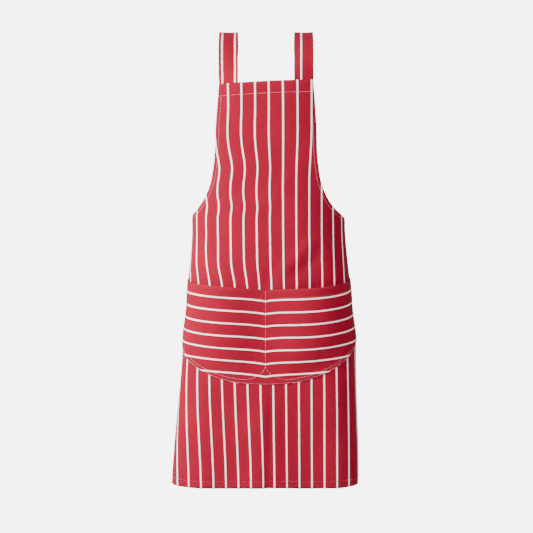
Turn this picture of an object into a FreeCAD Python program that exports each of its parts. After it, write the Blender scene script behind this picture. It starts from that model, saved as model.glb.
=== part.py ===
import FreeCAD, Part
import functools
import math
import os

# A butcher's apron in striped cotton twill, as it hangs on the wearer.  The cloth is described by its flat
# pattern: s runs sideways from the centre front along the cloth, z is the height, and every ply is laid on
# the same body form at its own distance outside it.  Millimetres, +Z up, front towards -Y, and the origin
# midway between the two places where the shoulder straps rest on the shoulders.

os.makedirs("parts", exist_ok=True)
V = FreeCAD.Vector

# ---- cloth -------------------------------------------------------------------------------------------
CLOTH = 0.8                  # thickness of one ply
GAP = 0.2                    # clearance between two plies
THREAD = 0.5                 # how far a line of stitching stands off the cloth
THREAD_WIDTH = 0.9
THREAD_CLEAR = 0.05          # and how far its underside clears the cloth
ROW_CLEAR = 4.0              # gap between two runs of thread, or between a run and an edge

# ---- overall sizes -----------------------------------------------------------------------------------
APRON_LENGTH = 975.0         # bib top to bottom edge
APRON_WIDTH = 710.0          # flat width across the skirt
BIB_WIDTH = 215.0            # flat width of the bib's top edge
STRAP_RISE = 114.0           # shoulder down to the bib's top edge
BIB_HEIGHT = 350.0           # bib top to the waist corner, where the side edge starts

# ---- hems --------------------------------------------------------------------------------------------
BIB_HEM = 28.0
ARMHOLE_HEM = 10.0
SIDE_HEM = 12.0
BOTTOM_HEM = 20.0
STITCH_INSET = 2.0           # a hem's stitching runs this far inside the hem's free edge

# ---- pocket ------------------------------------------------------------------------------------------
POCKET_DROP = 482.0          # bib top to the middle of the pocket mouth
POCKET_HEIGHT = 230.0        # at the centre front
POCKET_SIDE_HEIGHT = 146.0   # along the pocket's straight side edges
POCKET_WIDTH = 484.0         # flat
POCKET_MOUTH_SAG = 11.0      # how much lower the mouth is in the middle than at the sides
MOUTH_CURVE = 1.3            # exponent of the mouth's sag
POCKET_TOP_HEM = 22.0
POCKET_TURNING = 9.0         # edge folded under along the sides and bottom
POCKET_FULLNESS = 14.0       # how far each bag stands off the apron at its fullest
BAG_RISE = 0.4               # share of the pocket's height over which a bag fills out
POCKET_OUTER_ROW = 2.0       # two rows of stitching hold the pocket, this far inside its edge
POCKET_INNER_ROW = 10.0
POCKET_CURVE = 2.5           # exponent of the bottom edge: 1 is a V, more is flatter in the middle
FORK_HEIGHT = 50.0           # the inner row turns up into the centre stitching this far above the bottom
FORK_REACH = 62.0            # and starts to turn this far from the centre
FORK_DEGREES = (14, 24, 36, 50, 66, 80)

# ---- shoulder straps ---------------------------------------------------------------------------------
STRAP_WIDTH = 44.0
STRAP_THICKNESS = 1.6        # folded double
STRAP_FRONT_LAP = 26.0       # length sewn behind the bib's top edge
STRAP_BACK_LAP = 40.0        # length sewn to the waist corner
STRAP_CROSS_LIFT = 4.0       # extra room where one strap passes over the other
STRAP_SHOULDER_X = 87.0      # strap centre where it goes over the shoulder
STRAP_BACK_X = 91.0          # and where it starts down the back
STRAP_BACK_OFF = 2.5         # how far the straps lie off the wearer's back
STRAP_CORNER_INSET = 32.0    # strap centre from the side edge at the waist corner
BOX_WIDTH = 28.0             # the stitched box that holds a strap's end
BOX_DROP = 14.0              # from the waist corner down to the box
BOX_CLEAR = 2.0

# ---- the wearer's form under the cloth -----------------------------------------------------------------
CHEST_HALF_WIDTH = 182.0
CHEST_HALF_DEPTH = 114.0
WAIST_HALF_WIDTH = 184.0
WAIST_HALF_DEPTH = 96.0
HIP_HALF_WIDTH = 200.0
HIP_HALF_DEPTH = 92.0
THIGH_HALF_WIDTH = 211.0
THIGH_HALF_DEPTH = 85.5
HEM_HALF_WIDTH = 232.0
HEM_HALF_DEPTH = 52.0
BIB_FRONT = -114.0           # y of the cloth's centre front at each level
WAIST_FRONT = -99.0
HIP_FRONT = -96.0
THIGH_FRONT = -93.5
HEM_FRONT = -81.0
CHEST_SQUARENESS = 2.5       # exponent of the section: 2 is an ellipse, more is squarer
HIP_SQUARENESS = 2.95
THIGH_SQUARENESS = 3.0
HEM_SQUARENESS = 3.4

# ---- levels ------------------------------------------------------------------------------------------
Z_BIB = -STRAP_RISE
Z_WAIST = Z_BIB - BIB_HEIGHT
Z_HEM = Z_BIB - APRON_LENGTH
Z_MOUTH = Z_BIB - POCKET_DROP
Z_POCKET_BOTTOM = Z_MOUTH - POCKET_HEIGHT
Z_HIP = 0.5 * (Z_WAIST + Z_POCKET_BOTTOM)
Z_POCKET_CORNER = Z_MOUTH + POCKET_MOUTH_SAG - POCKET_SIDE_HEIGHT

LEVELS = [
    (Z_BIB, CHEST_HALF_WIDTH, CHEST_HALF_DEPTH, BIB_FRONT, CHEST_SQUARENESS),
    (Z_WAIST, WAIST_HALF_WIDTH, WAIST_HALF_DEPTH, WAIST_FRONT, CHEST_SQUARENESS),
    (Z_HIP, HIP_HALF_WIDTH, HIP_HALF_DEPTH, HIP_FRONT, HIP_SQUARENESS),
    (Z_POCKET_CORNER, THIGH_HALF_WIDTH, THIGH_HALF_DEPTH, THIGH_FRONT, THIGH_SQUARENESS),
    (Z_HEM, HEM_HALF_WIDTH, HEM_HALF_DEPTH, HEM_FRONT, HEM_SQUARENESS),
]

BODY_IN = 0.0
BODY_OUT = BODY_IN + CLOTH
HEM_OUT = BODY_IN - GAP
HEM_IN = HEM_OUT - CLOTH
FOLD_IN = BODY_OUT + GAP
FOLD_OUT = FOLD_IN + CLOTH
POCKET_IN = FOLD_OUT + GAP
POCKET_OUT = POCKET_IN + CLOTH
STRAP_OFF = HEM_IN - GAP - 0.5 * STRAP_THICKNESS

QUARTER_STEPS = 500
BODY_ROWS = 18
BODY_COLUMNS = 73
FIT = 0.05                   # how closely a fitted surface keeps to its points
SAME_WAY = 1                 # a ruled surface joins its two edges start to start


@functools.lru_cache(maxsize=None)
def form_at(z):
    """Half width, half depth, centre-front y and squareness of the form, smooth between its levels."""
    z = max(min(z, LEVELS[0][0]), LEVELS[-1][0])
    for upper, lower in zip(LEVELS, LEVELS[1:]):
        if z >= lower[0]:
            share = (upper[0] - z) / (upper[0] - lower[0])
            ease = share * share * (3.0 - 2.0 * share)
            blend = 0.5 * (share + ease)
            return [u + (w - u) * blend for u, w in zip(upper[1:], lower[1:])]
    return list(LEVELS[-1][1:])


@functools.lru_cache(maxsize=None)
def quarter(z):
    """Points of one quarter of the form's section, centre front to side, with the arc length at each."""
    half_width, half_depth, front, power = form_at(z)
    rows = []
    length = 0.0
    for i in range(QUARTER_STEPS + 1):
        angle = 0.5 * math.pi * i / QUARTER_STEPS
        x = half_width * math.sin(angle) ** (2.0 / power)
        depth = half_depth * (1.0 - max(math.cos(angle), 0.0) ** (2.0 / power))
        if rows:
            length += math.hypot(x - rows[-1][0], depth - rows[-1][1])
        rows.append((x, depth, length))
    return rows


def section_point(z, s):
    """x and y on the form at flat distance s from the centre front, and the outward direction there."""
    half_width, half_depth, front, power = form_at(z)
    rows = quarter(z)
    full = rows[-1][2]
    along = min(abs(s), full)
    behind = abs(s) > full
    if behind:
        along = max(2.0 * full - abs(s), 0.0)
    low = 0
    high = len(rows) - 1
    while high - low > 1:
        middle = (low + high) // 2
        if rows[middle][2] <= along:
            low = middle
        else:
            high = middle
    share = (along - rows[low][2]) / (rows[high][2] - rows[low][2])
    x = rows[low][0] + share * (rows[high][0] - rows[low][0])
    depth = rows[low][1] + share * (rows[high][1] - rows[low][1])
    across = x / half_width
    inward = 1.0 - depth / half_depth
    out_x = across ** (power - 1.0) / half_width
    out_y = -(inward ** (power - 1.0)) / half_depth
    if behind:
        depth = 2.0 * half_depth - depth
        out_y = -out_y
    size = math.hypot(out_x, out_y)
    side = 1.0 if s >= 0 else -1.0
    return side * x, front + depth, side * out_x / size, out_y / size


def place(s, z, off):
    """The point of space at flat place (s, z), off outside the form."""
    x, y, out_x, out_y = section_point(z, s)
    return V(x + off * out_x, y + off * out_y, z)


def half_girth(z):
    return quarter(z)[-1][2]


def smooth_edge(points):
    curve = Part.BSplineCurve()
    curve.interpolate(points)
    return curve.toShape()


def spaced(first, last, count):
    return [first + (last - first) * i / (count - 1) for i in range(count)]


def closed_solid(faces):
    """The solid that these faces enclose."""
    shell = Part.makeShell(faces)
    shell.sewShape()
    solid = Part.makeSolid(shell)
    if solid.Volume < 0.0:
        solid.reverse()
    return solid


def lofted_panel(rows, columns, inner, outer):
    """A ply of level rows laid on the form, each row given as its height and its half width."""
    wires = []
    for z, half in rows:
        outside = [place(s, z, outer) for s in spaced(-half, half, columns)]
        inside = [place(s, z, inner) for s in spaced(half, -half, columns)]
        wires.append(Part.Wire([
            smooth_edge(outside),
            Part.LineSegment(outside[-1], inside[0]).toShape(),
            smooth_edge(inside),
            Part.LineSegment(inside[-1], outside[0]).toShape(),
        ]))
    return Part.makeLoft(wires, True, False)


def fitted_panel(grid, inner, outer, swell=None):
    """A ply between two surfaces fitted to a grid of flat places, its rows running from side to side."""
    sheets = []
    for off in (inner, outer):
        points = [[place(s, z, off + (swell(s, z) if swell else 0.0)) for s, z in row] for row in grid]
        surface = Part.BSplineSurface()
        surface.approximate(Points=points, DegMin=3, DegMax=5, Continuity=2, Tolerance=FIT)
        sheets.append(surface)
    faces = [surface.toShape() for surface in sheets]
    u_first, u_last, v_first, v_last = sheets[0].bounds()
    for value in (u_first, u_last):
        rims = [surface.uIso(value).toShape() for surface in sheets]
        faces.append(Part.makeRuledSurface(rims[0], rims[1], SAME_WAY))
    for value in (v_first, v_last):
        rims = [surface.vIso(value).toShape() for surface in sheets]
        faces.append(Part.makeRuledSurface(rims[0], rims[1], SAME_WAY))
    return closed_solid(faces)


def level_grid(low, high, rows, half, columns):
    """A grid of flat places in level rows, from one height to another."""
    return [[(s, z) for s in spaced(-half, half, columns)] for z in spaced(low, high, rows)]


def solid_along(lines):
    """A solid between four lines of points, which are the corners of its section all the way along."""
    steps = [float(i) for i in range(len(lines[0]))]
    edges = []
    for line in lines:
        curve = Part.BSplineCurve()
        curve.interpolate(Points=line, Parameters=steps)
        edges.append(curve.toShape())
    faces = [Part.makeRuledSurface(edges[i], edges[(i + 1) % 4], SAME_WAY) for i in range(4)]
    for end in (0, -1):
        a, b, c, d = [line[end] for line in lines]
        first = Part.LineSegment(a, b).toShape()
        second = Part.LineSegment(d, c).toShape()
        faces.append(Part.makeRuledSurface(first, second, SAME_WAY))
    return closed_solid(faces)


def strip(route, left, right, inner, outer, swell=None):
    """A narrow ply or a line of thread along a flat route, from left to right of it."""
    lines = [[], [], [], []]
    for i, (s, z) in enumerate(route):
        s0, z0 = route[max(i - 1, 0)]
        s1, z1 = route[min(i + 1, len(route) - 1)]
        length = math.hypot(s1 - s0, z1 - z0)
        side_s = -(z1 - z0) / length
        side_z = (s1 - s0) / length
        for line, reach, off in zip(lines, (left, right, right, left), (inner, inner, outer, outer)):
            flat_s = s + reach * side_s
            flat_z = z + reach * side_z
            extra = swell(flat_s, flat_z) if swell else 0.0
            line.append(place(flat_s, flat_z, off + extra))
    return solid_along(lines)


def thread(route, inset, outer, swell=None):
    """A run of thread on a cloth's outer face, inset to the left of its route."""
    half = 0.5 * THREAD_WIDTH
    return strip(route, inset - half, inset + half, outer + THREAD_CLEAR, outer + THREAD, swell)


def sampled(points, count):
    """Evenly spaced places along a smooth flat curve through a few chosen ones."""
    curve = Part.BSplineCurve()
    curve.interpolate([V(s, 0, z) for s, z in points])
    return [(p.x, p.z) for p in curve.discretize(Number=count)]


def mirrored(route):
    return [(-s, z) for s, z in reversed(route)]


def straight(start, end, count):
    return list(zip(spaced(start[0], end[0], count), spaced(start[1], end[1], count)))


def save(name, shape):
    shape.exportStep("parts/" + name + ".step")
    print(name, shape.ShapeType, len(shape.Solids), shape.isValid(), round(shape.Volume, 1))


# ---- the armhole, from the bib's corner to the waist corner, on the flat pattern ----------------------
HALF_WIDTH = 0.5 * APRON_WIDTH
HALF_BIB = 0.5 * BIB_WIDTH
ARM_WIDTH = HALF_WIDTH - HALF_BIB
ARMHOLE_SHARES = [           # share of the way out to the waist corner, and of the way down to it
    (0.0, 0.0),
    (0.035, 0.29),
    (0.055, 0.53),
    (0.10, 0.68),
    (0.205, 0.81),
    (0.52, 0.94),
    (1.0, 1.0),
]
ARMHOLE = [(HALF_BIB + out * ARM_WIDTH, Z_BIB - down * BIB_HEIGHT) for out, down in ARMHOLE_SHARES]
ARMHOLE_LINE = sampled(ARMHOLE, 41)
SIDE_REACH = 4               # steps of the armhole's line, each way from the side, that are cut from the side
CUT_CLEAR = 60.0

# ---- body panel ----------------------------------------------------------------------------------------


def prism(line, corners, along):
    """A straight-sided solid: a smooth line of points, closed through these corners and swept along."""
    ring = [line[-1]] + corners + [line[0]]
    edges = [smooth_edge(line)] + [Part.LineSegment(a, b).toShape() for a, b in zip(ring, ring[1:])]
    return Part.Face(Part.Wire(edges)).extrude(along)


def above_armhole(side):
    """What the armhole removes on one side: prisms cut from the front, from the side and from the back."""
    line = [place(side * s, z, 0) for s, z in ARMHOLE_LINE]
    turn = next(i for i, (s, z) in enumerate(ARMHOLE_LINE) if s > half_girth(z))
    first = turn - SIDE_REACH
    last = turn + SIDE_REACH
    top = Z_BIB + CUT_CLEAR
    far = side * (CHEST_HALF_WIDTH + WAIST_HALF_WIDTH)
    deep = 2.0 * CHEST_HALF_DEPTH
    y = line[first].y
    front = [V(p.x, y, p.z) for p in line[:first + 1]]
    corners = [V(far, y, front[-1].z), V(far, y, top), V(front[0].x, y, top)]
    pieces = [prism(front, corners, V(0, -deep, 0))]
    y = line[last].y
    back = [V(p.x, y, p.z) for p in line[last:]]
    inner = back[-1].x - side * CUT_CLEAR
    corners = [V(inner, y, back[-1].z), V(inner, y, top), V(far, y, top), V(far, y, back[0].z)]
    pieces.append(prism(back, corners, V(0, deep, 0)))
    beside = [V(0.5 * line[first].x, p.y, p.z) for p in line[first:last + 1]]
    corners = [V(beside[0].x, beside[-1].y, top), V(beside[0].x, beside[0].y, top)]
    pieces.append(prism(beside, corners, V(far, 0, 0)))
    return pieces


body_rows = [(z, HALF_WIDTH) for z in spaced(Z_HEM, Z_BIB, BODY_ROWS)]
body = lofted_panel(body_rows, BODY_COLUMNS, BODY_IN, BODY_OUT)
for side in (1, -1):
    for piece in above_armhole(side):
        body = body.cut(piece)
save("body_panel", body.Solids[0])

# ---- hems, each a ply turned to the inside --------------------------------------------------------------
bib_hem_grid = level_grid(Z_BIB - BIB_HEM, Z_BIB, 5, HALF_BIB, 31)
save("bib_top_hem", fitted_panel(bib_hem_grid, HEM_IN, HEM_OUT))

below_bib_hem = [p for p in ARMHOLE_LINE if p[1] < Z_BIB - BIB_HEM - GAP]
for name, route, side in (("right", below_bib_hem, 1), ("left", mirrored(below_bib_hem), -1)):
    save(name + "_armhole_hem", strip(route, -ARMHOLE_HEM, 0, HEM_IN, HEM_OUT))

side_top = (HALF_WIDTH, Z_WAIST - ARMHOLE_HEM - BOX_CLEAR)
side_bottom = (HALF_WIDTH, Z_HEM + BOTTOM_HEM + GAP)
side_line = straight(side_top, side_bottom, 13)
save("right_side_hem", strip(side_line, -SIDE_HEM, 0, HEM_IN, HEM_OUT))
save("left_side_hem", strip(mirrored(side_line), -SIDE_HEM, 0, HEM_IN, HEM_OUT))
bottom_hem_grid = level_grid(Z_HEM, Z_HEM + BOTTOM_HEM, 5, HALF_WIDTH, BODY_COLUMNS)
save("bottom_hem", fitted_panel(bottom_hem_grid, HEM_IN, HEM_OUT))

# ---- pocket ----------------------------------------------------------------------------------------------
HALF_POCKET = 0.5 * POCKET_WIDTH
POCKET_RISE = Z_POCKET_CORNER - Z_POCKET_BOTTOM


def pocket_edge(s):
    return Z_POCKET_BOTTOM + POCKET_RISE * min(abs(s) / HALF_POCKET, 1.0) ** POCKET_CURVE


def pocket_mouth(s):
    return Z_MOUTH + POCKET_MOUTH_SAG * min(abs(s) / HALF_POCKET, 1.0) ** MOUTH_CURVE


def inner_row(s):
    """Height of the inner row of stitching, which turns up into the centre line."""
    turn = max(1.0 - abs(s) / FORK_REACH, 0.0)
    lift = (FORK_HEIGHT - POCKET_INNER_ROW) * (1.0 - math.sqrt(1.0 - turn ** 2))
    return pocket_edge(s) + POCKET_INNER_ROW + lift


def smooth_step(value):
    value = max(0.0, min(1.0, value))
    return value * value * (3.0 - 2.0 * value)


def pocket_swell(s, z):
    """How far the pocket stands off where a bag is, and nothing where it is stitched down."""
    across = (abs(s) - THREAD_WIDTH) / (HALF_POCKET - POCKET_INNER_ROW - THREAD_WIDTH)
    if across <= 0.0 or across >= 1.0:
        return 0.0
    rise = smooth_step((z - inner_row(s) - THREAD_WIDTH) / (BAG_RISE * POCKET_HEIGHT))
    return POCKET_FULLNESS * math.sin(math.pi * across) ** 2 * rise


pocket_grid = []
for share in spaced(0.0, 1.0, 19):
    row = []
    for s in spaced(-HALF_POCKET, HALF_POCKET, 81):
        row.append((s, pocket_edge(s) + share * (pocket_mouth(s) - pocket_edge(s))))
    pocket_grid.append(row)
save("pocket_panel", fitted_panel(pocket_grid, POCKET_IN, POCKET_OUT, pocket_swell))

mouth_line = [(s, pocket_mouth(s) - CLOTH) for s in spaced(HALF_POCKET, -HALF_POCKET, 49)]
save("pocket_mouth_hem", strip(mouth_line, 0, POCKET_TOP_HEM, FOLD_IN, FOLD_OUT, pocket_swell))

turn_top = pocket_mouth(HALF_POCKET) - POCKET_TOP_HEM - ROW_CLEAR
turn_side = HALF_POCKET - CLOTH
turned = []
for side in (1, -1):
    edge = straight((side * turn_side, turn_top), (side * turn_side, Z_POCKET_CORNER + ROW_CLEAR), 5)
    turned.append(strip(edge, -side * POCKET_TURNING, 0, FOLD_IN, FOLD_OUT))
bottom_half = HALF_POCKET - 0.9 * POCKET_TURNING
bottom_line = [(s, pocket_edge(s) + CLOTH) for s in spaced(-bottom_half, bottom_half, 41)]
turned.append(strip(bottom_line, 0, POCKET_TURNING, FOLD_IN, FOLD_OUT))
save("pocket_turning", Part.makeCompound(turned))

# ---- shoulder straps ---------------------------------------------------------------------------------------


def behind(across, z, off):
    """A point on the wearer's back, across the form from the centre back."""
    reach = 2.0 * half_girth(z) - abs(across)
    return place(reach if across >= 0 else -reach, z, off)


def outward(point_at, flat, z):
    near = point_at(flat, z, 0.0)
    return (point_at(flat, z, 10.0) - near).normalize()


def strap_stations(lift):
    """Places and outward directions along the strap that starts at the right of the bib."""
    rows = []
    flat = HALF_BIB - 0.5 * STRAP_WIDTH
    for z in (Z_BIB - STRAP_FRONT_LAP, Z_BIB - 0.5 * STRAP_FRONT_LAP, Z_BIB):
        rows.append((place(flat, z, STRAP_OFF), outward(place, flat, z)))
    start = rows[-1][0]
    end = behind(STRAP_BACK_X, Z_BIB, STRAP_BACK_OFF)
    middle = 0.5 * (start.y + end.y)
    half = 0.5 * (end.y - start.y)
    top = STRAP_RISE - 0.5 * STRAP_THICKNESS
    for degrees in (22, 42, 66, 90, 114, 138):
        angle = math.radians(degrees)
        share = degrees / 180.0
        x = start.x + (STRAP_BACK_X - start.x) * share
        if share < 0.5:
            x = start.x + (STRAP_SHOULDER_X - start.x) * 2.0 * share
        y = middle - half * math.cos(angle)
        z = Z_BIB + top * math.sin(angle) ** 0.85
        rows.append((V(x, y, z), V(0, -math.cos(angle), math.sin(angle))))
    z_end = Z_WAIST - STRAP_BACK_LAP
    across_end = -(2.0 * half_girth(z_end) - (HALF_WIDTH - STRAP_CORNER_INSET))
    for share in (0.0, 0.12, 0.26, 0.38, 0.50, 0.64, 0.78, 0.89, 1.0):
        across = STRAP_BACK_X + (across_end - STRAP_BACK_X) * share
        z = Z_BIB + (z_end - Z_BIB) * share
        settle = smooth_step((share - 0.5) / 0.35)
        off = STRAP_BACK_OFF + (STRAP_OFF - STRAP_BACK_OFF) * settle
        off += lift * math.exp(-((share - 0.38) / 0.16) ** 2)
        rows.append((behind(across, z, off), outward(behind, across, z)))
    return rows


def ribbon(stations, samples, width, thickness):
    """A strap of rectangular section through its stations, turned to face outwards all the way."""
    lengths = [0.0]
    for (a, _), (b, _) in zip(stations, stations[1:]):
        lengths.append(lengths[-1] + (b - a).Length)
    line = Part.BSplineCurve()
    line.interpolate(Points=[p for p, n in stations], Parameters=lengths)
    facing = Part.BSplineCurve()
    facing.interpolate(Points=[n for p, n in stations], Parameters=lengths)
    lines = [[], [], [], []]
    for t in spaced(0.0, lengths[-1], samples):
        centre = line.value(t)
        along = V(*line.tangent(t)[0]).normalize()
        normal = facing.value(t)
        normal = (normal - along * normal.dot(along)).normalize()
        half_side = along.cross(normal) * (0.5 * width)
        half_up = normal * (0.5 * thickness)
        lines[0].append(centre + half_side + half_up)
        lines[1].append(centre - half_side + half_up)
        lines[2].append(centre - half_side - half_up)
        lines[3].append(centre + half_side - half_up)
    return solid_along(lines)


def flipped(stations):
    return [(V(-p.x, p.y, p.z), V(-n.x, n.y, n.z)) for p, n in stations]


right_stations = strap_stations(0.0)
save("right_shoulder_strap", ribbon(right_stations, 61, STRAP_WIDTH, STRAP_THICKNESS))
left_stations = flipped(strap_stations(STRAP_CROSS_LIFT))
save("left_shoulder_strap", ribbon(left_stations, 61, STRAP_WIDTH, STRAP_THICKNESS))

# ---- stitching, each line a run of thread on the outside of the cloth ----------------------------------
bib_row = Z_BIB - BIB_HEM + STITCH_INSET
bib_end = HALF_BIB - ROW_CLEAR
save("bib_hem_stitching", thread(straight((bib_end, bib_row), (-bib_end, bib_row), 25), 0, BODY_OUT))


def pair(route, inset, outer, swell=None):
    """The same run of thread on the right and on the left."""
    return [thread(route, inset, outer, swell), thread(mirrored(route), inset, outer, swell)]


armhole_row = [p for p in ARMHOLE_LINE if p[1] < bib_row - 2.0 * THREAD_WIDTH][:-1]
armhole_inset = STITCH_INSET - ARMHOLE_HEM
save("armhole_stitching", Part.makeCompound(pair(armhole_row, armhole_inset, BODY_OUT)))

side_inset = STITCH_INSET - SIDE_HEM
save("side_hem_stitching", Part.makeCompound(pair(side_line, side_inset, BODY_OUT)))

bottom_row = Z_HEM + BOTTOM_HEM - STITCH_INSET
bottom_end = HALF_WIDTH - ROW_CLEAR
bottom_route = straight((bottom_end, bottom_row), (-bottom_end, bottom_row), 61)
save("bottom_hem_stitching", thread(bottom_route, 0, BODY_OUT))

inner_s = HALF_POCKET - POCKET_INNER_ROW
outer_s = HALF_POCKET - POCKET_OUTER_ROW
mouth_flats = spaced(inner_s - ROW_CLEAR, POCKET_INNER_ROW, 25)
mouth_row = [(s, pocket_mouth(s) - POCKET_TOP_HEM + STITCH_INSET) for s in mouth_flats]
save("pocket_mouth_stitching", Part.makeCompound(pair(mouth_row, 0, POCKET_OUT, pocket_swell)))

row_top = Z_MOUTH + 0.5 * POCKET_MOUTH_SAG
edge_flats = spaced(ROW_CLEAR - outer_s, outer_s - ROW_CLEAR, 41)
edge_rows = [thread([(s, pocket_edge(s) + POCKET_OUTER_ROW) for s in edge_flats], 0, POCKET_OUT)]
edge_rows += pair(straight((outer_s, row_top), (outer_s, Z_POCKET_CORNER + ROW_CLEAR), 7), 0, POCKET_OUT)
save("pocket_edge_stitching", Part.makeCompound(edge_rows))

fork_flats = [FORK_REACH * (1.0 - math.cos(math.radians(d))) for d in FORK_DEGREES]
bag_flats = fork_flats + spaced(FORK_REACH + ROW_CLEAR, inner_s - ROW_CLEAR, 17)
bag_bottom = Z_POCKET_CORNER + POCKET_INNER_ROW + ROW_CLEAR
bag_rows = pair([(s, inner_row(s)) for s in bag_flats], 0, POCKET_OUT)
bag_rows += pair(straight((inner_s, row_top), (inner_s, bag_bottom), 7), 0, POCKET_OUT)
save("pocket_bag_stitching", Part.makeCompound(bag_rows))

centre_row = straight((0, Z_MOUTH - THREAD_WIDTH), (0, Z_POCKET_BOTTOM + FORK_HEIGHT), 9)
save("pocket_centre_stitching", thread(centre_row, 0, POCKET_OUT))

# ---- boxes of stitching, with one diagonal, that hold the straps' ends to the waist corners ------------
box_middle = HALF_WIDTH - STRAP_CORNER_INSET
box_in = box_middle - 0.5 * BOX_WIDTH
box_out = box_middle + 0.5 * BOX_WIDTH
box_top = Z_WAIST - BOX_DROP
box_low = Z_WAIST - STRAP_BACK_LAP
box_runs = [
    ((box_in, box_top), (box_out, box_top)),
    ((box_out, box_top - BOX_CLEAR), (box_out, box_low + BOX_CLEAR)),
    ((box_out, box_low), (box_in, box_low)),
    ((box_in, box_low + BOX_CLEAR), (box_in, box_top - BOX_CLEAR)),
    ((box_in + BOX_CLEAR, box_low + BOX_CLEAR), (box_out - BOX_CLEAR, box_top - BOX_CLEAR)),
]
box_threads = []
for start, end in box_runs:
    box_threads += pair(straight(start, end, 7), 0, BODY_OUT)
save("strap_end_stitching", Part.makeCompound(box_threads))
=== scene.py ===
import functools
import math

import bpy
import numpy as np
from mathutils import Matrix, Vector, noise


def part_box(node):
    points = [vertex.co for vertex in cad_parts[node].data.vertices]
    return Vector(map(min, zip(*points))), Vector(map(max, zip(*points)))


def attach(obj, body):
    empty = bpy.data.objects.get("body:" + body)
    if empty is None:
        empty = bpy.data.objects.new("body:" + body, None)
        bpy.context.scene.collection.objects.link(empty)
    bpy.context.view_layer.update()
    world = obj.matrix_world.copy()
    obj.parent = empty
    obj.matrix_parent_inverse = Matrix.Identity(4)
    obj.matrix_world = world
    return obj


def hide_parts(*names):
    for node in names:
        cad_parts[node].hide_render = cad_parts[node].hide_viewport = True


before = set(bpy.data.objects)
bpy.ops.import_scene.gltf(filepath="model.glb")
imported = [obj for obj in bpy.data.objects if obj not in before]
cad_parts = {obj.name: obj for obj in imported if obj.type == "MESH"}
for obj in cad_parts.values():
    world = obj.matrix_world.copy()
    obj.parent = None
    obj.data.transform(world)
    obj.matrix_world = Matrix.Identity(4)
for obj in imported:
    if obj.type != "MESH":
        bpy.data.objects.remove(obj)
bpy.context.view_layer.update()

# ---- Body panel ---------------------------------------------------------------------------------------
# The apron's one large piece of cotton twill, with a pale pinstripe woven down its length.  It is cut with
# the armholes curving from the bib's corners out to the waist corners, and hangs round the wearer's front.

TWILL = 0.0008               # one ply
GAP = 0.0002                 # air between two plies
PLY_SHARE = 0.9              # share of a ply's room that the cloth itself fills
APRON_WIDTH = 0.710
BIB_WIDTH = 0.215
BIB_HEIGHT = 0.350
POCKET_DROP = 0.482
POCKET_HEIGHT = 0.230
POCKET_SIDE_HEIGHT = 0.146
POCKET_MOUTH_SAG = 0.011
PANEL_STEP = 0.006           # size of the panel's mesh squares
ARMHOLE_ROWS = 72
SKIRT_ROWS = 108
QUARTER_POINTS = 501

panel_low, panel_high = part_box("body_panel")
Z_BIB = panel_high[2]
Z_HEM = panel_low[2]
Z_WAIST = Z_BIB - BIB_HEIGHT
Z_MOUTH = Z_BIB - POCKET_DROP
Z_POCKET_BOTTOM = Z_MOUTH - POCKET_HEIGHT
Z_HIP = 0.5 * (Z_WAIST + Z_POCKET_BOTTOM)
Z_POCKET_CORNER = Z_MOUTH + POCKET_MOUTH_SAG - POCKET_SIDE_HEIGHT
HALF_WIDTH = 0.5 * APRON_WIDTH
HALF_BIB = 0.5 * BIB_WIDTH

# height, half width, half depth, y of the centre front, and squareness of the body that wears the cloth
FORM = [
    (Z_BIB, 0.182, 0.114, -0.114, 2.5),
    (Z_WAIST, 0.184, 0.096, -0.099, 2.5),
    (Z_HIP, 0.200, 0.092, -0.096, 2.95),
    (Z_POCKET_CORNER, 0.211, 0.0855, -0.0935, 3.0),
    (Z_HEM, 0.232, 0.052, -0.081, 3.4),
]

# share of the way out to the waist corner, and share of the way down to it, along the armhole
ARMHOLE_SHARES = [
    (0.0, 0.0), (0.035, 0.29), (0.055, 0.53), (0.10, 0.68), (0.205, 0.81), (0.52, 0.94), (1.0, 1.0),
]


def smooth_step(value):
    value = max(0.0, min(1.0, value))
    return value * value * (3.0 - 2.0 * value)


def form_at(z):
    """Half width, half depth, centre-front y and squareness of the form at one height."""
    z = max(min(z, FORM[0][0]), FORM[-1][0])
    for upper, lower in zip(FORM, FORM[1:]):
        if z >= lower[0]:
            share = (upper[0] - z) / (upper[0] - lower[0])
            blend = 0.5 * (share + smooth_step(share))
            return [u + (w - u) * blend for u, w in zip(upper[1:], lower[1:])]
    return list(FORM[-1][1:])


@functools.lru_cache(maxsize=None)
def quarter(z):
    """One quarter of the form's section, centre front to side: x, depth and length along it."""
    half_width, half_depth, front, power = form_at(z)
    angle = np.linspace(0.0, 0.5 * math.pi, QUARTER_POINTS)
    x = half_width * np.sin(angle) ** (2.0 / power)
    depth = half_depth * (1.0 - np.clip(np.cos(angle), 0.0, 1.0) ** (2.0 / power))
    steps = np.hypot(np.diff(x), np.diff(depth))
    return x, depth, np.concatenate([[0.0], np.cumsum(steps)])


SWAY = [(Z_BIB, 0.0010), (Z_MOUTH, 0.0075), (Z_POCKET_CORNER, 0.0090), (Z_HEM, -0.0020)]
CENTRE_X = -0.0015           # the centre front hangs this far to the left of the wearer's middle


def sway_at(z):
    """The wearer stands with the hips a little to one side."""
    levels = sorted(SWAY)
    return float(np.interp(z, [level for level, x in levels], [x for level, x in levels]))


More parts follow.
